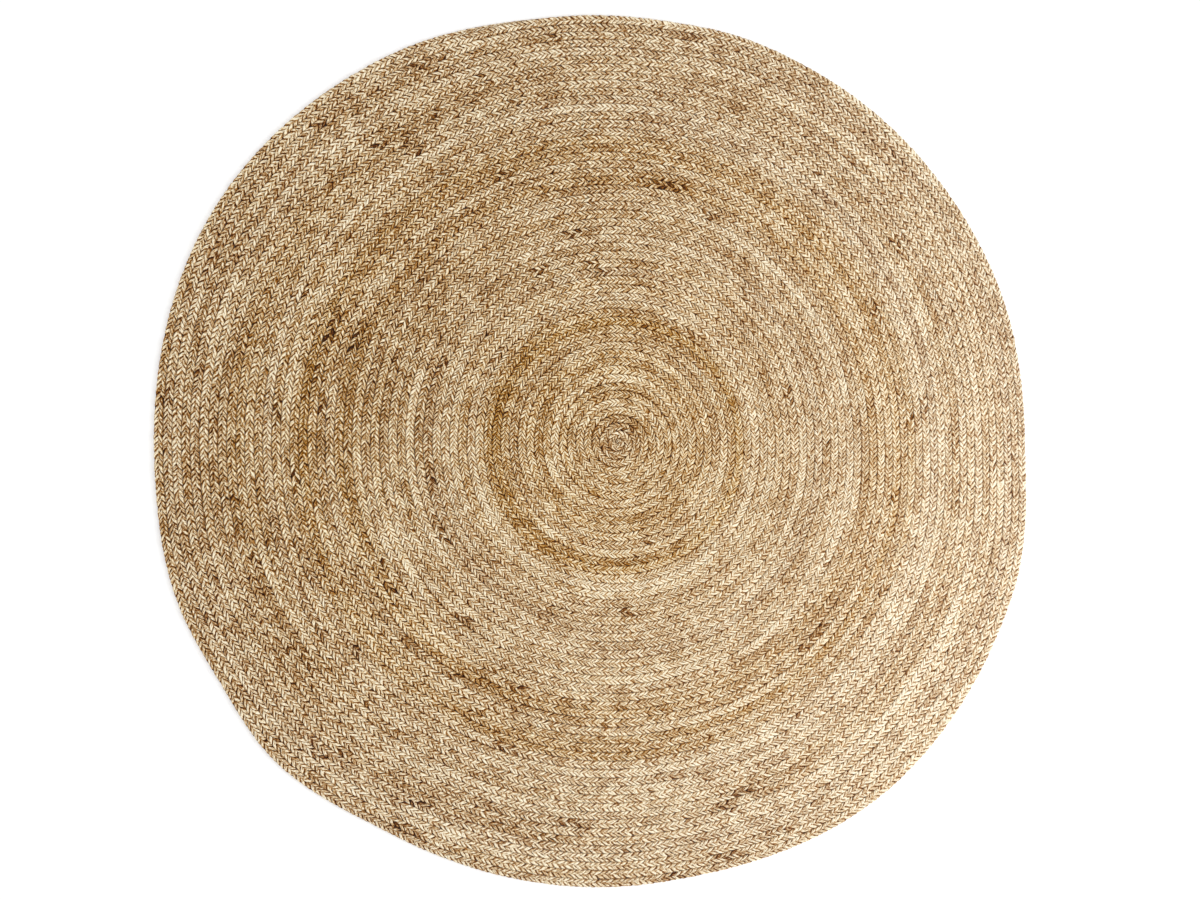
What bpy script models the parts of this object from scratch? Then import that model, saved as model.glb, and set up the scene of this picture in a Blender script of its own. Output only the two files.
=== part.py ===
"""Round braided jute rug.

One three-strand jute plait is coiled flat from its centre and sewn edge to edge, so the
rug is one piece of cloth. Here it is one solid: a round mat with a flat underside, the
half-round edge of the outermost turn, an outline as uneven as a hand-sewn coil, and low
soft rings on top where some turns were sewn a little tight. The strands are not modelled.

Units are metres, +Z is up, and the origin is the centre of the coil on the floor. The
plait winds outward clockwise, seen from above. Bearings are in degrees, anticlockwise
from +X.
"""

import math

import bmesh
import bpy

# Driving dimensions
PLAIT_WIDTH = 0.01694
TURNS = 53
THICKNESS = 0.009
BASE_RADIUS = PLAIT_WIDTH * TURNS

# The loose end of the plait is tucked in against the turn inside it
TAIL_BEARING = 96.0
TAIL_TAPER_ANGLE = 24.0

# Resolution of the solid
SPOKES = 96
EDGE_STEPS = 4
TOP_RINGS = 54
CENTRE_RADIUS = 0.012

# Unevenness of the outline: where the hand-sewn coil stands out from a plain spiral or is
# drawn in. The edge runs smoothly from each of these places to the next.
RIM_PLACES = (
    # bearing, how far out
    (0, -0.008),
    (25, 0.006),
    (50, 0.007),
    (70, 0.003),
    (86, -0.008),
    (108, -0.010),
    (150, 0.006),
    (183, -0.008),
    (200, 0.000),
    (210, -0.005),
    (222, 0.005),
    (240, -0.017),
    (275, -0.010),
    (311, 0.022),
    (340, 0.015),
    (360, -0.008),
)

# Soft rings on top: arcs of turns that stand a little proud of their neighbours
SOFT_RINGS = (
    # radius, bearing, half the arc's angle, half the ring's width, height
    (0.515, 190, 54, 0.045, 0.0024),
    (0.615, 166, 34, 0.040, 0.0016),
    (0.705, 202, 38, 0.045, 0.0016),
    (0.430, 318, 40, 0.050, 0.0009),
    (0.640, 20, 36, 0.050, 0.0009),
)

JUTE_COLOUR = (0.47, 0.35, 0.20, 1.0)
JUTE_ROUGHNESS = 0.92


def clear_scene():
    """Start from an empty scene."""
    for existing in list(bpy.data.objects):
        bpy.data.objects.remove(existing)


def smooth_step(share):
    """Rise from 0 to 1 with no corner at either end."""
    share = min(max(share, 0.0), 1.0)
    return share * share * (3 - 2 * share)


def hump(distance, half_width):
    """A soft bell: 1 in the middle, 0 from half_width outward."""
    return smooth_step(1 - abs(distance) / half_width)


def angle_between(bearing, other):
    """Signed angle from one bearing to another, from -180 to 180 degrees."""
    return (bearing - other + 180) % 360 - 180


def rim_stands_out(bearing):
    """How far the outline lies outside a plain spiral."""
    bearing %= 360
    for (start, here), (end, there) in zip(RIM_PLACES, RIM_PLACES[1:]):
        if start <= bearing <= end:
            return here + (there - here) * smooth_step((bearing - start) / (end - start))


def edge_radius(bearing):
    """Radius of the rug's outline: the spiral's outer edge with its hand-sewn unevenness."""
    angle_to_tail = (bearing - TAIL_BEARING) % 360
    last_turn = smooth_step(angle_to_tail / TAIL_TAPER_ANGLE)
    radius = PLAIT_WIDTH * (TURNS - 0.5 - angle_to_tail / 360 + last_turn)
    return radius + rim_stands_out(bearing)


def soft_rise(radius, bearing):
    """How far the soft rings lift the top at a place."""
    rise = 0.0
    for ring_radius, ring_bearing, half_angle, half_width, height in SOFT_RINGS:
        along = hump(angle_between(bearing, ring_bearing), half_angle)
        rise += height * along * hump(radius - ring_radius, half_width)
    return rise


def section_points():
    """Half the rug's section: from the floor round the half-round edge to the centre."""
    half_plait = PLAIT_WIDTH / 2
    half_thickness = THICKNESS / 2
    top_start = BASE_RADIUS - half_plait
    points = []
    for step in range(2 * EDGE_STEPS):
        turn = math.pi * (step / (2 * EDGE_STEPS) - 0.5)
        reach = top_start + half_plait * math.cos(turn)
        points.append((reach, half_thickness * (1 + math.sin(turn))))
    for ring in range(TOP_RINGS):
        share = ring / (TOP_RINGS - 1)
        points.append((top_start + (CENTRE_RADIUS - top_start) * share, THICKNESS))
    return points


def turned_mat(bm):
    """Turn the section once round the axis and close the centre and the underside."""
    corners = [bm.verts.new((reach, 0, height)) for reach, height in section_points()]
    lines = [bm.edges.new(pair) for pair in zip(corners, corners[1:])]
    bmesh.ops.spin(
        bm,
        geom=corners + lines,
        cent=(0, 0, 0),
        axis=(0, 0, 1),
        angle=2 * math.pi,
        steps=SPOKES,
        use_merge=True,
    )
    bmesh.ops.holes_fill(bm, edges=bm.edges, sides=SPOKES)


def shape_mat(bm):
    """Move the turned points out to the uneven outline and up on to the soft rings."""
    for point in bm.verts:
        radius = math.hypot(point.co.x, point.co.y)
        bearing = math.degrees(math.atan2(point.co.y, point.co.x))
        outwards = (radius / BASE_RADIUS) ** 2
        new_radius = radius + (edge_radius(bearing) - BASE_RADIUS) * outwards
        point.co.x *= new_radius / radius
        point.co.y *= new_radius / radius
        if point.co.z > THICKNESS / 2:
            point.co.z += soft_rise(new_radius, bearing)


def jute_material():
    """Dry natural jute yarn."""
    material = bpy.data.materials.new("jute")
    material.use_nodes = True
    shader = material.node_tree.nodes["Principled BSDF"]
    shader.inputs["Base Color"].default_value = JUTE_COLOUR
    shader.inputs["Roughness"].default_value = JUTE_ROUGHNESS
    shader.inputs["Metallic"].default_value = 0.0
    return material


def make_rug(collection):
    """The coiled plait as one flat solid."""
    bm = bmesh.new()
    turned_mat(bm)
    shape_mat(bm)
    bmesh.ops.recalc_face_normals(bm, faces=bm.faces)
    mesh = bpy.data.meshes.new("rug")
    bm.to_mesh(mesh)
    bm.free()
    mesh.materials.append(jute_material())
    mesh.shade_smooth()
    mesh.set_sharp_from_angle(angle=math.radians(40))
    collection.objects.link(bpy.data.objects.new("rug", mesh))


def main():
    clear_scene()
    collection = bpy.data.collections.new("round jute rug")
    bpy.context.scene.collection.children.link(collection)
    make_rug(collection)


main()
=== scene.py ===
"""Round braided jute rug: the looks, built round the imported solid.

The rug is one three-strand jute plait, coiled flat from the centre and sewn edge to edge.
Every strand that shows on the face is modelled: the plait is followed row by row along its
spiral, and each crossing strand is a slanting rounded bump. The coil is kept as one piece
for each turn, because a turn is what the eye can follow and a piece has to stay light.

Units are metres, +Z is up, the coil's centre is the origin and the floor is at z = 0.
Bearings are in degrees, anticlockwise from +X. The plait winds outward clockwise.
"""

import math

import bpy
import numpy as np
from mathutils import Matrix, Vector


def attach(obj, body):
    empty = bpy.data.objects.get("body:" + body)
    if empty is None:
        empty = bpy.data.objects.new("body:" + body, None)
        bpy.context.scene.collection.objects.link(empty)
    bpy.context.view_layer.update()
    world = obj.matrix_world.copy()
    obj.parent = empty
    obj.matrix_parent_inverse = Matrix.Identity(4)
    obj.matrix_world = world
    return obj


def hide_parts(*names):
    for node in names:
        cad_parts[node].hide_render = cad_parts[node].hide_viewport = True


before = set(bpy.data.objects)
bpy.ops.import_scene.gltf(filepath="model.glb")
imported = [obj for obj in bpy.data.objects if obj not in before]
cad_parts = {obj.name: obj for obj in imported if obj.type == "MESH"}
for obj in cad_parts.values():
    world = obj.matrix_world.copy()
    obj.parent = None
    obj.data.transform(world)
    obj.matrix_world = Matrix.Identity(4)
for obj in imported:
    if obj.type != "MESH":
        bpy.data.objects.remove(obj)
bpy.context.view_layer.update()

# The plait and the coil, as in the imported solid
PLAIT_WIDTH = 0.01694
TURNS = 53
THICKNESS = 0.009
BASE_RADIUS = PLAIT_WIDTH * TURNS
TAIL_BEARING = 96.0
TAIL_TAPER_ANGLE = 24.0

# The plait's own make
ROWS = 4                       # mesh rows in a pitch
SLANT = 1.25                   # how far a strand runs along while it crosses, per unit across
PITCH_WANDER = 1.4             # pitches by which loose and tight plaiting drifts
PLAITING_DRIFT = (
    # pitches for one swing, share, seed
    (37, 1.00, 11),
    (9, 0.35, 12),
)
FIRST_TURN = -0.42             # the cut end of the plait, rolled up in the centre
TIGHT_MIDDLE = 0.0042          # how far the tightly wound middle turns draw the coil in
TIGHT_TURNS = 34               # and how many turns they are
LOOSE_SEWING = (
    # swings in a turn, how far the groove strays, seed
    (5.3, 0.0007, 21),
    (17.1, 0.0004, 22),
)
CROSSING_LUCK = 0.07           # how unevenly full the strands are
CROSSING_SHIFT = 0.065         # how far a crossing lies out of step, in pitches
ROW_LUCK = 0.03                # and each row of it by itself
MOST_SHIFT = 0.22              # but never more than this
SLANT_LUCK = 0.18              # how unevenly the strands slant
GAP_LUCK = 0.2                 # how unevenly deep the gaps are
WOBBLE = 0.008                 # roughness of the face, in thicknesses
RIDGE_LUCK = 0.035             # how far a strand's crest lies to one side
HEIGHTS = (0.15, 1.14)         # the lowest and highest place on the face, in thicknesses

# How far it is from one crossing to the next on the same side
PITCHES = (
    # turn, pitch
    (0, 0.0086),
    (28, 0.0088),
    (33, 0.0100),
    (43, 0.0101),
    (47, 0.0108),
    (56, 0.0108),
)

# The face of the plait from its inner to its outer edge
FACE = (
    # across, height, how deep the gap between strands is
    (-1.00, 0.74, 0.22),
    (-0.80, 0.89, 0.34),
    (-0.46, 1.00, 0.38),
    (0.00, 0.64, 0.12),
    (0.46, 1.00, 0.38),
    (0.80, 0.89, 0.34),
    (1.00, 0.74, 0.22),
)
BACK = (-0.62, 0.0, 0.62)      # the flat underside's corners across the plait
STRAND_SHAPE = (0.0, 0.86, 1.0, 0.74)   # height over the four rows of one strand
CENTRE_ZIGZAG = 0.10           # how far the middle line weaves between the strands
EDGE_SCALLOP = 0.05            # how far the plait's edge draws in at each gap

# Round the plait's section, in millimetres of cloth: the face, then the underside
ROUND_FACE = (0.0, 4.2, 7.6, 12.2, 16.8, 20.2, 24.4)
ROUND_BACK = (32.6, 30.0, 27.5)
ROUND_ALL = 35.7
MAP_USED = 0.965               # how much of the flat map's height the strips use
MAP_GAP = 0.02                 # and the share of a strip's height left clear at each side

# Where the hand-sewn coil stands out from a plain spiral or is drawn in, as in the solid
RIM_PLACES = (
    # bearing, how far out
    (0, -0.008),
    (25, 0.006),
    (50, 0.007),
    (70, 0.003),
    (86, -0.008),
    (108, -0.010),
    (150, 0.006),
    (183, -0.008),
    (200, 0.000),
    (210, -0.005),
    (222, 0.005),
    (240, -0.017),
    (275, -0.010),
    (311, 0.022),
    (340, 0.015),
    (360, -0.008),
)
# Arcs of turns that stand a little proud of their neighbours, as in the solid
SOFT_RINGS = (
    # radius, bearing, half the arc's angle, half the ring's width, height
    (0.515, 190, 54, 0.045, 0.0024),
    (0.615, 166, 34, 0.040, 0.0016),
    (0.705, 202, 38, 0.045, 0.0016),
    (0.430, 318, 40, 0.050, 0.0009),
    (0.640, 20, 36, 0.050, 0.0009),
)

# Bands of paler or browner yarn round the coil, as the balls of yarn ran out
YARN_BANDS = (
    # radius, half width, paler (+) or darker (-), honey (+) or grey (-)
    (0.00, 0.04, -0.07, 0.0),
    (0.12, 0.14, -0.01, 0.6),
    (0.25, 0.02, -0.06, 0.7),
    (0.30, 0.03, 0.03, 0.1),
    (0.49, 0.02, 0.04, 0.0),
    (0.54, 0.02, -0.04, 0.5),
    (0.61, 0.03, -0.03, 0.5),
    (0.68, 0.03, 0.03, -0.2),
    (0.76, 0.02, -0.02, 0.0),
    (0.86, 0.08, 0.01, -0.3),
)
# Browner places that reach across turns: 0.12 is strong, 0.08 plain and 0.05 faint
BROWN_PATCHES = (
    # radius, bearing, half length, half width, how much
    (0.50, 173, 0.10, 0.015, 0.12),
    (0.53, 199, 0.09, 0.015, 0.08),
    (0.56, 160, 0.05, 0.040, 0.08),
    (0.61, 175, 0.12, 0.015, 0.08),
    (0.71, 191, 0.06, 0.020, 0.12),
    (0.76, 215, 0.10, 0.030, 0.08),
    (0.25, 168, 0.05, 0.020, 0.08),
    (0.27, 138, 0.06, 0.020, 0.05),
    (0.55, 77, 0.04, 0.015, 0.12),
    (0.75, 70, 0.12, 0.015, 0.08),
    (0.73, 101, 0.06, 0.020, 0.08),
    (0.58, 48, 0.06, 0.030, 0.05),
    (0.55, 238, 0.08, 0.015, 0.08),
    (0.76, 249, 0.06, 0.015, 0.05),
)

# Slow changes of tone along the yarn
YARN_DRIFT = (
    # pitches for one swing, how much, seed
    (9, 0.045, 54),
    (26, 0.050, 51),
    (80, 0.040, 52),
)
TURN_TONE = 0.015              # chance differences of tone from turn to turn
HONEY_DRIFT = 0.25             # and slow ones of honey along the yarn
PATCH_HONEY = 1.5              # a brown patch is also more honey
PATCH_FLECKS = 3.5             # and has more dark strands in it

# Jute's tones from painted shade at the bottom of a gap to a painted highlight on a crest
JUTE_TONES = (
    # place, colour
    (0.00, "#2b1405"),
    (0.20, "#5c2e0b"),
    (0.35, "#855527"),
    (0.50, "#a67e4e"),
    (0.65, "#c2a47d"),
    (0.80, "#ddc9a4"),
    (0.94, "#f5ebd2"),
)
GAP_SHADE_TONE = -0.945              # painted shade: tone in a gap, before the chances of the yarn are added
CREST_HIGHLIGHT_TONE = 0.64              # painted highlight: how much paler a strand's crest is painted
MIDDLE_TONE = 0.62             # the tone towards which the painted highlights and shade are drawn in on the window lamp's side
SIDE_LIGHT_TONE = 0.045              # painted light: how much paler the face is painted on the window lamp's side
SIDE_LIGHT_HONEY = -0.50             # and how much less honey, painted as if washed out by the light
SIDE_SHADE_CONTRAST = 0.15            # and how much softer the painted crest highlights and gap shade are there
PLY_SHADE_TONE = -0.12               # painted shade: the dark line between a strand's two yarns
CROSSING_TONE = 0.26           # chance differences from one crossing to the next
SPUN_TONE = 0.40               # slower ones along each strand
FIBRE_TONE = 1.70              # loose fibres
GAPE_SHADE_TONE = -0.12              # painted shade in a groove that gapes
DARK_TONE = -0.36              # a dark strand
DARK_LIMIT = 0.765             # how barky a length is before it shows as a dark strand
FLECK_SHARE = -0.050           # and how flecked yarn lowers that
DARK_EDGE = 18.0               # how sharply a dark strand starts

# Pieces: the turns in the middle are one piece, and each turn outside them is its own
CENTRE_TURNS = 11


# The studio: a soft square window at the right, and an eye at head height over the rug
LAMP_PLACE = (1.8, -0.6, 1.5)
LAMP_AIM = (0.3, -0.1, 0)
LAMP_SIZE = 1.6
LAMP_POWER = 28                # watts
EYE_PLACE = (-0.26, -0.072, 1.8)
EYE_AIM = (-0.036, -0.014, 0)
LENS = 26.8                    # millimetres, on a 36 mm sensor
FLOOR_SIZE = 14


# ---------------------------------------------------------------- small helpers

def linear(hex_colour):
    """An sRGB hex colour as linear RGBA."""
    parts = [int(hex_colour[i:i + 2], 16) / 255 for i in (1, 3, 5)]
    return [p / 12.92 if p <= 0.04045 else ((p + 0.055) / 1.055) ** 2.4 for p in parts] + [1.0]


def column(table, number):
    """One column of a table of rows, as an array."""
    return np.array([row[number] for row in table], float)


def smooth_step(share):
    """Rise from 0 to 1 with no corner at either end."""
    share = np.clip(share, 0.0, 1.0)
    return share * share * (3 - 2 * share)


def wander(place, seed, knots=4096):
    """Seeded unevenness between -1 and 1, with about one swing for each unit of place."""
    values = np.random.default_rng(seed).uniform(-1, 1, knots)
    low = np.floor(place).astype(int)
    share = smooth_step(place - low)
    return values[low % knots] * (1 - share) + values[(low + 1) % knots] * share


def luck(number, seed, knots=65536):
    """A seeded normal value that belongs to a whole number, such as one strand's crossing."""
    return np.random.default_rng(seed).normal(size=knots)[np.asarray(number).astype(int) % knots]


def swings(place, rows):
    """Several wanders added up: how much place each swing takes, how much it counts, its seed."""
    return sum(amount * wander(place / span, seed) for span, amount, seed in rows)


# ---------------------------------------------------------------- the coil's path

def length_at(turn):
    """Length of plait wound from the centre out to a turn."""
    inner = math.pi * PLAIT_WIDTH * (turn + 0.5) ** 2 / 2
    outer = math.pi * PLAIT_WIDTH * (turn ** 2 + 0.25)
    return np.where(turn < 0.5, inner, outer)


def pitch_at(turn):
    """Length of plait from one crossing to the next on the same side."""
    return np.interp(turn, column(PITCHES, 0), column(PITCHES, 1))


def winding():
    """Turns from the centre outward, and how many pitches of plait are wound at each."""
    turns = np.linspace(-0.5, TURNS + 1.5, 9000)
    lengths = length_at(turns)
    added = np.diff(lengths) / pitch_at((turns[1:] + turns[:-1]) / 2)
    return turns, np.concatenate([[0.0], np.cumsum(added)])


WOUND_TURNS, WOUND_PITCHES = winding()


def turn_after(pitches):
    """The turn reached after a number of pitches, some of them plaited tighter than others."""
    drift = swings(pitches, PLAITING_DRIFT)
    start = swings(np.zeros(1), PLAITING_DRIFT)[0]
    return np.interp(pitches + PITCH_WANDER * (drift - start), WOUND_PITCHES, WOUND_TURNS)


def groove(turn):
    """Radius of the sewn groove that lies this many turns from the centre."""
    loose = sum(far * wander(turn * rate, seed) for rate, far, seed in LOOSE_SEWING)
    fade_in = smooth_step(turn / 3)
    tight = TIGHT_MIDDLE * np.sin(math.pi * np.clip(turn / TIGHT_TURNS, 0, 1))
    plain = np.maximum(PLAIT_WIDTH * turn - tight, 0.0009 + 0.0006 * turn)
    return plain + loose * fade_in


def rim_stands_out(bearing):
    """How far the outline lies outside a plain spiral, run smoothly from place to place."""
    places = column(RIM_PLACES, 0)
    out = column(RIM_PLACES, 1)
    here = np.searchsorted(places, bearing % 360, side="right") - 1
    share = smooth_step((bearing % 360 - places[here]) / (places[here + 1] - places[here]))
    return out[here] + (out[here + 1] - out[here]) * share


def angle_between(bearing, other):
    """Signed angle from one bearing to another, from -180 to 180 degrees."""
    return (bearing - other + 180) % 360 - 180


def soft_rise(radius, bearing):
    """How far the soft rings lift the plait."""
    rise = np.zeros_like(radius)
    for ring_radius, ring_bearing, half_angle, half_width, height in SOFT_RINGS:
        along = smooth_step(1 - np.abs(angle_between(bearing, ring_bearing)) / half_angle)
        rise += height * along * smooth_step(1 - np.abs(radius - ring_radius) / half_width)
    return rise


def place(turn, across, height):
    """World points on the plait: turn along the spiral, -1 to 1 across it, and height."""
    taper = smooth_step((TURNS - turn) * 360 / TAIL_TAPER_ANGLE)
    inner = groove(turn - 0.5)
    outer = inner + (groove(turn + 0.5) - inner) * np.maximum(taper, 0.03)
    radius = inner + (outer - inner) * (across + 1) / 2
    bearing = TAIL_BEARING + 360 * (TURNS - turn)
    radius = radius + rim_stands_out(bearing) * (radius / BASE_RADIUS) ** 2
    angle = np.radians(bearing)
    lift = height * (0.35 + 0.65 * taper) + soft_rise(radius, bearing)
    return np.stack([radius * np.cos(angle), radius * np.sin(angle), lift], -1)


# ---------------------------------------------------------------- one run of plait

def crossing_of(row, outer_side):
    """The number of the strand crossing a row is on, counted along both sides together."""
    shifted = row + np.where(outer_side, 0, ROWS // 2)
    return 2 * (shifted // ROWS) - np.where(outer_side, 0, 1)


def lagging_turn(row, across):
    """Where a row's mesh line is along the coil: it slants back from the plait's middle."""
    turn = turn_after(row / ROWS)
    middle_radius = np.maximum(PLAIT_WIDTH * turn, 0.4 * PLAIT_WIDTH)
    outer_side = across > 0
    slant = SLANT * (1 + SLANT_LUCK * luck(crossing_of(row, outer_side), 31))
    lag = slant * np.abs(across) * PLAIT_WIDTH / 2
    shift = ROW_LUCK * luck(2 * row + outer_side, 32)
    shift = shift + CROSSING_SHIFT * luck(crossing_of(row, outer_side), 33)
    shift = pitch_at(turn) * np.clip(shift, -MOST_SHIFT, MOST_SHIFT)
    lag = lag + shift * smooth_step(np.abs(across) * 2.4)
    return turn - lag / (2 * math.pi * middle_radius)


def face_points(rows):
    """The points of the plait's face, a line of seven for each row."""
    row, t = np.meshgrid(rows, column(FACE, 0), indexing="ij")
    crown = column(FACE, 1)[None]
    gap = column(FACE, 2)[None]
    outer_side = t > 0
    crossing = crossing_of(row, outer_side)
    step = (row + np.where(outer_side, 0, ROWS // 2)) % ROWS
    shape = np.array(STRAND_SHAPE)[step]
    full = 1 + CROSSING_LUCK * luck(crossing, 41) * shape
    sunk = gap * (1 - shape) * (1 + GAP_LUCK * luck(crossing, 42))
    wobble = WOBBLE * luck(row * 7 + np.round(3 * t).astype(int), 43)
    height = THICKNESS * np.clip(crown * full - sunk + wobble, *HEIGHTS)
    zigzag = CENTRE_ZIGZAG * np.cos(2 * math.pi * row / ROWS) * (t == 0)
    scallop = 1 - EDGE_SCALLOP * (1 - shape) * (np.abs(t) == 1)
    ridge = RIDGE_LUCK * luck(crossing, 44) * (np.abs(t) < 0.9) * (t != 0)
    return place(lagging_turn(row, t), t * scallop + zigzag + ridge, height), row, t


def back_points(rows):
    """The points of the flat underside, a line of three for each pitch."""
    row, t = np.meshgrid(rows, np.array(BACK), indexing="ij")
    return place(lagging_turn(row, t), t, np.zeros(row.shape)), row, t


def plait_faces(rows):
    """Blocks of faces: their corners, the pitch each lies in, and if they close the section.

    The blocks are the face, the underside, the outer side, the inner side and the cut ends.
    """
    wide = len(FACE)
    thin = len(BACK)
    base = rows * wide
    pitches = (rows - 1) // ROWS

    i, j = np.meshgrid(np.arange(rows - 1), np.arange(wide - 1), indexing="ij")
    near = (i * wide + j).ravel()
    face = np.stack([near, near + wide, near + wide + 1, near + 1], -1)
    blocks = [(face, i.ravel() // ROWS, False)]

    i, j = np.meshgrid(np.arange(pitches), np.arange(thin - 1), indexing="ij")
    near = (base + i * thin + j).ravel()
    back = np.stack([near, near + 1, near + thin + 1, near + thin], -1)
    blocks.append((back, i.ravel(), False))

    p = np.arange(pitches)
    for top_column, back_column, outward in ((wide - 1, thin - 1, True), (0, 0, False)):
        top = [(p * ROWS + r) * wide + top_column for r in range(ROWS + 1)]
        low = base + p * thin + back_column
        high = low + thin
        fan = [(low, top[0], top[1]), (low, top[1], top[2]), (low, top[2], high)]
        fan += [(high, top[2], top[3]), (high, top[3], top[4])]
        for a, b, c in fan:
            corners = [a, b, c] if outward else [a, c, b]
            blocks.append((np.stack(corners, -1), p, not outward))

    start = list(range(wide)) + [base + k for k in reversed(range(thin))]
    last_top = (rows - 1) * wide
    last_back = base + pitches * thin
    end = [last_back + k for k in range(thin)] + [last_top + k for k in reversed(range(wide))]
    blocks.append((np.array([start]), np.zeros(1, int), False))
    blocks.append((np.array([end]), np.array([pitches - 1]), False))
    return blocks


def cloth_map(blocks, row, around, pitches, length):
    """A flat map of the plait's surface: the run is cut into strips, stacked up the map.

    A strip is as wide as the section is round, at the same scale both ways.
    """
    strips = max(1, round(math.sqrt(length / (ROUND_ALL / 1000) * MAP_USED)))
    in_strip = math.ceil(pitches / strips)
    places = []
    for corners, pitch, closes in blocks[:-2]:
        strip = (pitch // in_strip)[:, None]
        u = ((row[corners] - row.min()) / ROWS - strip * in_strip) / in_strip
        round_it = around[corners] / ROUND_ALL
        if closes:
            round_it = np.where(round_it == 0, 1.0, round_it)
        v = (strip + MAP_GAP + (1 - 2 * MAP_GAP) * round_it) / strips * MAP_USED
        places.append(np.stack([0.002 + 0.996 * u, v], -1).reshape(-1, 2))
    # the two cut ends go above the strips, each a small ring
    for number, (corners, _, _) in enumerate(blocks[-2:]):
        angle = 2 * math.pi * np.arange(corners.size) / corners.size
        middle = 0.02 + 0.03 * number
        cap = np.stack([middle + 0.01 * np.cos(angle), 0.985 + 0.01 * np.sin(angle)], -1)
        places.append(cap)
    return np.concatenate(places)


def yarn_and_side_light_at(points, row):
    """How the yarn in the rug changes from place to place, with painted side light added: paler and greyer
    towards the window lamp, darker and more honey away from it.

    Returns paler (+) or darker (-), honey (+) or grey (-), and how often a dark strand shows.
    """
    x, y = points[:, 0], points[:, 1]
    radius = np.hypot(x, y)
    bearing = np.degrees(np.arctan2(y, x))
    tone = TURN_TONE * wander(radius / 0.02, 55)
    honey = np.zeros_like(radius)
    for band_radius, half_width, paler, yellower in YARN_BANDS:
        band = np.exp(-((radius - band_radius) / half_width) ** 2)
        tone = tone + paler * band
        honey = honey + yellower * band
    flecks = smooth_step((radius - 0.16) / 0.30) * (0.75 + 0.25 * np.cos(np.radians(bearing - 185)))
    run = row / ROWS
    tone = tone + swings(run, YARN_DRIFT)
    honey = honey + HONEY_DRIFT * wander(run / 90, 53)
    for spot_radius, spot_bearing, half_length, half_width, amount in BROWN_PATCHES:
        along = radius * np.radians(angle_between(bearing, spot_bearing)) / half_length
        off = (radius - spot_radius) / half_width
        spot = amount * np.exp(-(along ** 2) - off ** 2)
        tone = tone - spot
        honey = honey + PATCH_HONEY * spot
        flecks = flecks + PATCH_FLECKS * spot
    # painted light: the face is paler and greyer towards the window lamp, darker and more honey on the far
    # side
    lit = np.clip(radius / 0.7, 0, 1) * np.cos(np.radians(bearing + 15))
    tone = tone + SIDE_LIGHT_TONE * lit
    honey = honey + SIDE_LIGHT_HONEY * lit
    return np.stack([tone, honey, flecks], -1)


def painted_shade_at(points, row, across):
    """Painted shade from place to place.

    Returns how far the sewn groove beside a point gapes, 0 to 1 and the same from both of its
    sides, which the material paints as shade in the groove, and how strong the painted crest
    highlights and gap shade are: 1 plain, less towards the window lamp and more away from it.
    """
    # where the sewn grooves gape, which the material paints darker as shade
    turn = turn_after(row / ROWS) + 0.5 * np.sign(across)
    length = length_at(turn)
    gape = 0.5 * wander(length / 0.11, 61) + 0.45 * wander(length / 0.42, 62)
    gape = gape + 0.3 * wander(turn * 1.3, 63) + 0.35 * smooth_step((15 - turn) / 6)
    gape = smooth_step(1.6 * gape - 0.35) * smooth_step(np.abs(across) * 3 - 1.6)
    # painted light: softer painted crest highlights and gap shade towards the window lamp, deeper ones away
    # from it
    bearing = np.arctan2(points[:, 1], points[:, 0])
    side = np.clip(np.hypot(points[:, 0], points[:, 1]) / 0.5, 0, 1)
    shade_contrast = 1 - SIDE_SHADE_CONTRAST * side * np.cos(bearing + math.radians(5))
    return np.stack([gape, shade_contrast, np.zeros_like(gape)], -1)


def make_run(name, first_row, last_row, material):
    """One piece: the plait from one row to another as a closed mesh."""
    rows = np.arange(first_row, last_row + 1)
    face, face_row, face_t = face_points(rows)
    back, back_row, back_t = back_points(rows[::ROWS])
    points = np.concatenate([face.reshape(-1, 3), back.reshape(-1, 3)])
    row = np.concatenate([face_row.ravel(), back_row.ravel()]).astype(float)
    across = np.concatenate([face_t.ravel(), back_t.ravel()])
    around = np.concatenate([np.tile(ROUND_FACE, len(rows)), np.tile(ROUND_BACK, len(rows[::ROWS]))])
    blocks = plait_faces(len(rows))
    length = run_length(first_row, last_row)

    mesh = bpy.data.meshes.new(name)
    mesh.from_pydata(points.tolist(), [], [f for block in blocks for f in block[0].tolist()])
    corners = np.concatenate([block[0].ravel() for block in blocks])
    plait_map = mesh.uv_layers.new(name="plait")
    plait_map.uv.foreach_set("vector", np.stack([row / ROWS, across], -1)[corners].ravel())
    bake_map = mesh.uv_layers.new(name="OFBake")
    flat = cloth_map(blocks, row, around, (len(rows) - 1) // ROWS, length)
    bake_map.uv.foreach_set("vector", flat.ravel())
    # the yarn's tone, with the painted side light added
    yarn_and_side_light = mesh.attributes.new("yarn_and_side_light", "FLOAT_VECTOR", "POINT")
    yarn_and_side_light.data.foreach_set("vector", yarn_and_side_light_at(points, row).ravel())
    # painted shade: how far the grooves gape, and how strong the painted crest highlights and gap shade are
    painted_shade = mesh.attributes.new("painted_shade", "FLOAT_VECTOR", "POINT")
    painted_shade.data.foreach_set("vector", painted_shade_at(points, row, across).ravel())
    mesh.shade_smooth()
    mesh.materials.append(material)
    piece = bpy.data.objects.new(name, mesh)
    bpy.context.scene.collection.objects.link(piece)
    return piece


def run_length(first_row, last_row):
    """Length of plait between two rows."""
    turns = turn_after(np.array([first_row, last_row]) / ROWS)
    return float(np.diff(length_at(turns))[0])


# ---------------------------------------------------------------- materials

def add(tree, kind, settings=None, inputs=None):
    """A node with its settings, and its inputs set to a value or linked to a node or socket."""
    node = tree.nodes.new(kind)
    for key, value in (settings or {}).items():
        setattr(node, key, value)
    for key, value in (inputs or {}).items():
        if isinstance(value, bpy.types.Node):
            value = value.outputs[0]
        if isinstance(value, bpy.types.NodeSocket):
            tree.links.new(value, node.inputs[key])
        else:
            node.inputs[key].default_value = value
    return node


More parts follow.
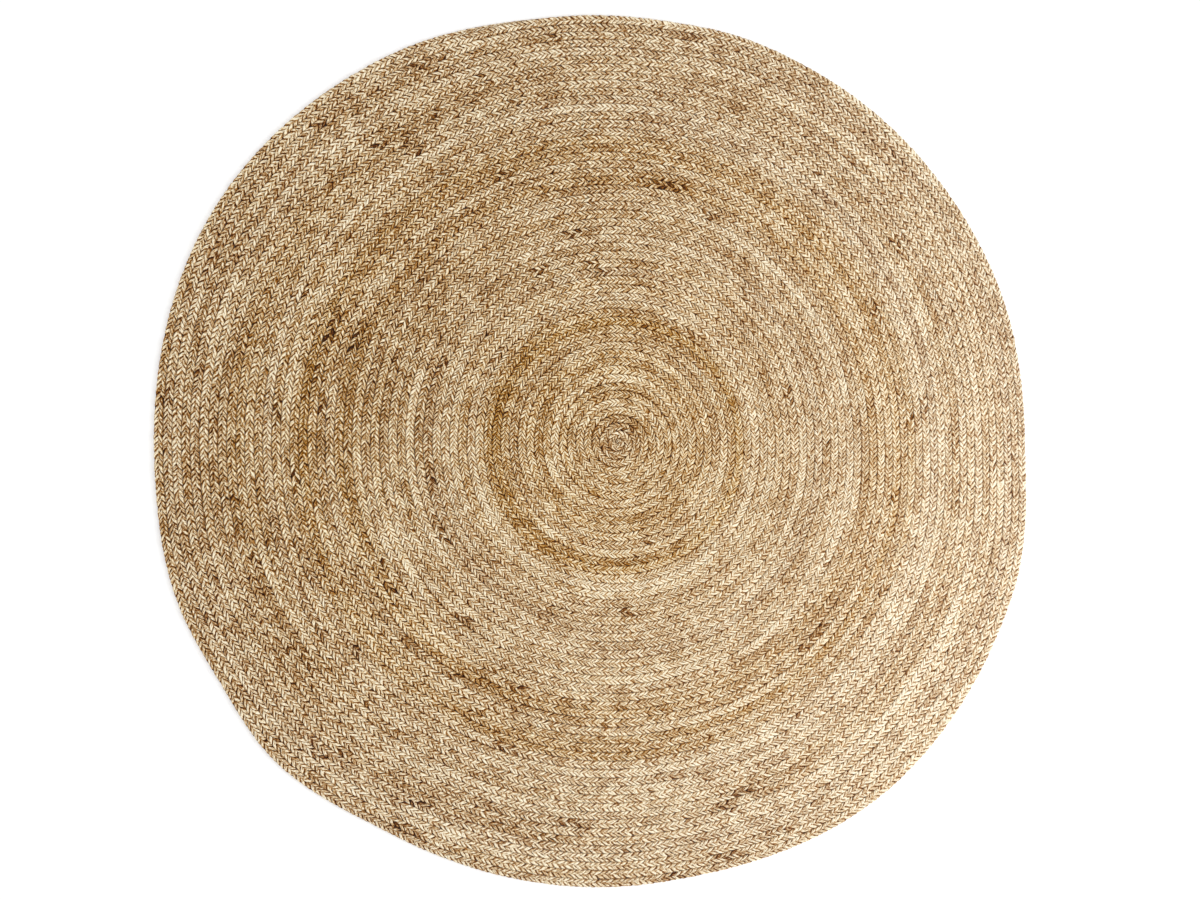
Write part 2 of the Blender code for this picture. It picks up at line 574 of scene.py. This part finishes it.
def fill_ramp(node, stops):
    """Give a colour ramp its stops."""
    ramp = node.color_ramp
    while len(ramp.elements) < len(stops):
        ramp.elements.new(0.5)
    for element, (position, hex_colour) in zip(ramp.elements, stops):
        element.position = position
        element.color = linear(hex_colour)


def braided_jute():
    """Natural jute, retted in water, loosely spun and braided by hand into a flat plait.

    The eye sees pale, dry strands that cross like ears of wheat, dark gaps between them,
    and now and then one strand spun from browner bark. The light on the crests and the shade
    in the gaps are painted into the colour.
    """
    material = bpy.data.materials.new("braided jute")
    material.use_nodes = True
    tree = material.node_tree
    shader = tree.nodes["Principled BSDF"]

    # where a point is on the plait: which crossing, how far over it, and which strand it is
    plait = add(tree, "ShaderNodeUVMap", {"uv_map": "plait"})
    parts = add(tree, "ShaderNodeSeparateXYZ", None, {0: plait})
    along = parts.outputs["X"]
    across = parts.outputs["Y"]
    outer = add(tree, "ShaderNodeMath", {"operation": "GREATER_THAN"}, {0: across, 1: 0.0})
    half = add(tree, "ShaderNodeMath", {"operation": "MULTIPLY_ADD"}, {0: outer, 1: -0.5, 2: 0.5})
    shifted = add(tree, "ShaderNodeMath", {"operation": "ADD"}, {0: along, 1: half})
    phase = add(tree, "ShaderNodeMath", {"operation": "FRACT"}, {0: shifted})
    whole = add(tree, "ShaderNodeMath", {"operation": "FLOOR"}, {0: shifted})
    crossing = add(tree, "ShaderNodeMath", {"operation": "MULTIPLY_ADD"}, {0: whole, 1: 2.0, 2: outer})
    strand = add(tree, "ShaderNodeMath", {"operation": "FLOORED_MODULO"}, {0: crossing, 1: 3.0})

    # painted highlight and shade: each strand bulges, with painted light on its crest and painted shade
    # where it dives under the next, along the plait's middle line and at its sewn edges
    over = add(tree, "ShaderNodeMath", {"operation": "MULTIPLY"}, {0: phase, 1: math.pi})
    over = add(tree, "ShaderNodeMath", {"operation": "SINE"}, {0: over})
    over = add(tree, "ShaderNodeMath", {"operation": "POWER"}, {0: over, 1: 0.9})
    side = add(tree, "ShaderNodeMath", {"operation": "MULTIPLY"}, {0: across, 1: math.pi})
    side = add(tree, "ShaderNodeMath", {"operation": "SINE"}, {0: side})
    side = add(tree, "ShaderNodeMath", {"operation": "ABSOLUTE"}, {0: side})
    side = add(tree, "ShaderNodeMath", {"operation": "POWER"}, {0: side, 1: 0.8})
    side = add(tree, "ShaderNodeMath", {"operation": "MULTIPLY_ADD"}, {0: side, 1: 0.42, 2: 0.58})
    crest = add(tree, "ShaderNodeMath", {"operation": "MULTIPLY"}, {0: over, 1: side})

    # painted shade: a dark line in the crease where two yarns lie side by side in each strand
    ply = add(tree, "ShaderNodeMath", {"operation": "MULTIPLY"}, {0: phase, 1: 4 * math.pi})
    ply = add(tree, "ShaderNodeMath", {"operation": "COSINE"}, {0: ply})

    # no two crossings and no two lengths of strand are the same brown
    chance = add(tree, "ShaderNodeTexWhiteNoise", {"noise_dimensions": "1D"}, {"W": crossing})
    row_apart = add(tree, "ShaderNodeMath", {"operation": "MULTIPLY"}, {0: strand, 1: 17.3})
    lane = add(tree, "ShaderNodeCombineXYZ", None, {0: along, 1: row_apart})
    stretch = add(tree, "ShaderNodeVectorMath", {"operation": "MULTIPLY"}, {0: lane, 1: (0.14, 1.0, 0.0)})
    spun = add(tree, "ShaderNodeTexNoise", {"noise_dimensions": "2D"},
               {"Vector": stretch, "Scale": 1.0, "Detail": 3.0, "Roughness": 0.6})
    stretch = add(tree, "ShaderNodeVectorMath", {"operation": "MULTIPLY_ADD"},
                  {0: lane, 1: (0.085, 1.0, 0.0), 2: (400.0, 0.0, 0.0)})
    bark = add(tree, "ShaderNodeTexNoise", {"noise_dimensions": "2D"},
               {"Vector": stretch, "Scale": 1.0, "Detail": 1.0, "Roughness": 0.5})

    # loose fibres along the strand: real ones are 0.06 mm, drawn as tufts of up to 3 mm
    fine = add(tree, "ShaderNodeVectorMath", {"operation": "MULTIPLY"}, {0: plait, 1: (3.4, 3.0, 0.0)})
    fibres = add(tree, "ShaderNodeTexNoise", {"noise_dimensions": "2D"},
                 {"Vector": fine, "Scale": 1.0, "Detail": 3.0, "Roughness": 0.6})

    # the yarn's own tone from place to place, with the painted side light added
    yarn_and_side_light = add(tree, "ShaderNodeAttribute", {"attribute_name": "yarn_and_side_light"})
    yarn_and_side_light_parts = add(tree, "ShaderNodeSeparateXYZ", None, {0: yarn_and_side_light.outputs["Vector"]})
    tone = yarn_and_side_light_parts.outputs["X"]
    honey = yarn_and_side_light_parts.outputs["Y"]
    flecks = yarn_and_side_light_parts.outputs["Z"]

    # dark strands: the barkiest lengths, more of them where the yarn is flecked
    limit = add(tree, "ShaderNodeMath", {"operation": "MULTIPLY_ADD"},
                {0: flecks, 1: FLECK_SHARE, 2: DARK_LIMIT})
    above = add(tree, "ShaderNodeMath", {"operation": "SUBTRACT"}, {0: bark, 1: limit})
    dark = add(tree, "ShaderNodeMath", {"operation": "MULTIPLY", "use_clamp": True},
               {0: above, 1: DARK_EDGE})

    # add up the tone: painted crest highlights, painted shade in gaps and between yarns, the yarn's own
    # chances and tone with its painted side light, painted shade in gaping grooves, and dark strands
    value = add(tree, "ShaderNodeMath", {"operation": "MULTIPLY_ADD"},
                {0: crest, 1: CREST_HIGHLIGHT_TONE, 2: GAP_SHADE_TONE})
    value = add(tree, "ShaderNodeMath", {"operation": "MULTIPLY_ADD"}, {0: ply, 1: PLY_SHADE_TONE, 2: value})
    value = add(tree, "ShaderNodeMath", {"operation": "MULTIPLY_ADD"},
                {0: chance, 1: CROSSING_TONE, 2: value})
    value = add(tree, "ShaderNodeMath", {"operation": "MULTIPLY_ADD"}, {0: spun, 1: SPUN_TONE, 2: value})
    value = add(tree, "ShaderNodeMath", {"operation": "MULTIPLY_ADD"}, {0: fibres, 1: FIBRE_TONE, 2: value})
    value = add(tree, "ShaderNodeMath", {"operation": "ADD"}, {0: value, 1: tone})
    painted_shade = add(tree, "ShaderNodeAttribute", {"attribute_name": "painted_shade"})
    painted_shade_parts = add(tree, "ShaderNodeSeparateXYZ", None, {0: painted_shade.outputs["Vector"]})
    gape = painted_shade_parts.outputs["X"]
    shade_contrast = painted_shade_parts.outputs["Y"]
    # painted shade where a sewn groove gapes
    value = add(tree, "ShaderNodeMath", {"operation": "MULTIPLY_ADD"}, {0: gape, 1: GAPE_SHADE_TONE, 2: value})
    value = add(tree, "ShaderNodeMath", {"operation": "MULTIPLY_ADD"}, {0: dark, 1: DARK_TONE, 2: value})

    # painted light: towards the window lamp the painted highlights and shade are drawn in towards the
    # middle tone, and away from it they are deepened
    value = add(tree, "ShaderNodeMath", {"operation": "SUBTRACT"}, {0: value, 1: MIDDLE_TONE})
    value = add(tree, "ShaderNodeMath", {"operation": "MULTIPLY_ADD"},
                {0: value, 1: shade_contrast, 2: MIDDLE_TONE})
    shade = add(tree, "ShaderNodeValToRGB", None, {0: value})
    fill_ramp(shade, JUTE_TONES)

    # honey yarn is stronger in colour, weathered yarn greyer, and the painted side light greys the face
    # towards the window lamp
    strength = add(tree, "ShaderNodeMath", {"operation": "MULTIPLY_ADD"}, {0: honey, 1: 0.16, 2: 1.05})
    coloured = add(tree, "ShaderNodeHueSaturation", None, {"Saturation": strength, "Color": shade})
    tree.links.new(coloured.outputs["Color"], shader.inputs["Base Color"])

    relief = add(tree, "ShaderNodeBump", None, {"Strength": 0.45, "Distance": 0.0006, "Height": fibres})
    tree.links.new(relief.outputs["Normal"], shader.inputs["Normal"])
    shader.inputs["Roughness"].default_value = 0.88
    shader.inputs["Specular IOR Level"].default_value = 0.25
    return material


def pale_floor():
    """A matt painted studio floor."""
    material = bpy.data.materials.new("matt white floor")
    material.use_nodes = True
    shader = material.node_tree.nodes["Principled BSDF"]
    shader.inputs["Base Color"].default_value = linear("#fbfbfb")
    shader.inputs["Roughness"].default_value = 0.9
    return material


# ---------------------------------------------------------------- the rug

def make_rug():
    """All the runs of plait, from the centre outward."""
    material = braided_jute()
    pitches = np.arange(0, int(WOUND_PITCHES[-1]))
    turns = turn_after(pitches.astype(float))
    ends = [FIRST_TURN] + list(range(CENTRE_TURNS, TURNS + 1))
    marks = [int(np.argmin(np.abs(turns - e))) for e in ends]
    for count, (first, last) in enumerate(zip(marks, marks[1:])):
        name = "plait_centre" if count == 0 else f"plait_turn_{CENTRE_TURNS + count:02d}"
        piece = make_run(name, first * ROWS, last * ROWS, material)
        length = run_length(first * ROWS, last * ROWS)
        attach(piece, "root")
        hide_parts("rug")


# ---------------------------------------------------------------- studio

def make_floor():
    bpy.ops.mesh.primitive_plane_add(size=FLOOR_SIZE, location=(0, 0, 0))
    floor = bpy.context.object
    floor.name = "floor"
    floor.data.materials.append(pale_floor())


def make_light():
    world = bpy.data.worlds.new("soft room")
    bpy.context.scene.world = world
    world.use_nodes = True
    sky = world.node_tree.nodes["Background"]
    sky.inputs["Color"].default_value = (1.0, 1.0, 1.0, 1.0)
    sky.inputs["Strength"].default_value = 1.0
    lamp = bpy.data.lights.new("window", "AREA")
    lamp.shape = "SQUARE"
    lamp.size = LAMP_SIZE
    lamp.energy = LAMP_POWER
    window = bpy.data.objects.new("window", lamp)
    window.location = LAMP_PLACE
    aim = Vector(LAMP_AIM) - window.location
    window.rotation_euler = aim.to_track_quat("-Z", "Y").to_euler()
    bpy.context.scene.collection.objects.link(window)


def make_camera():
    eye = bpy.data.cameras.new("camera")
    eye.lens = LENS
    eye.sensor_width = 36
    camera = bpy.data.objects.new("camera", eye)
    camera.location = EYE_PLACE
    back = (Vector(EYE_PLACE) - Vector(EYE_AIM)).normalized()
    right = Vector((0, 1, 0)).cross(back).normalized()
    up = back.cross(right)
    camera.rotation_euler = Matrix((right, up, back)).transposed().to_euler()
    bpy.context.scene.collection.objects.link(camera)
    bpy.context.scene.camera = camera


make_camera()
make_light()
make_floor()
make_rug()
bpy.context.scene.view_settings.view_transform = "Standard"
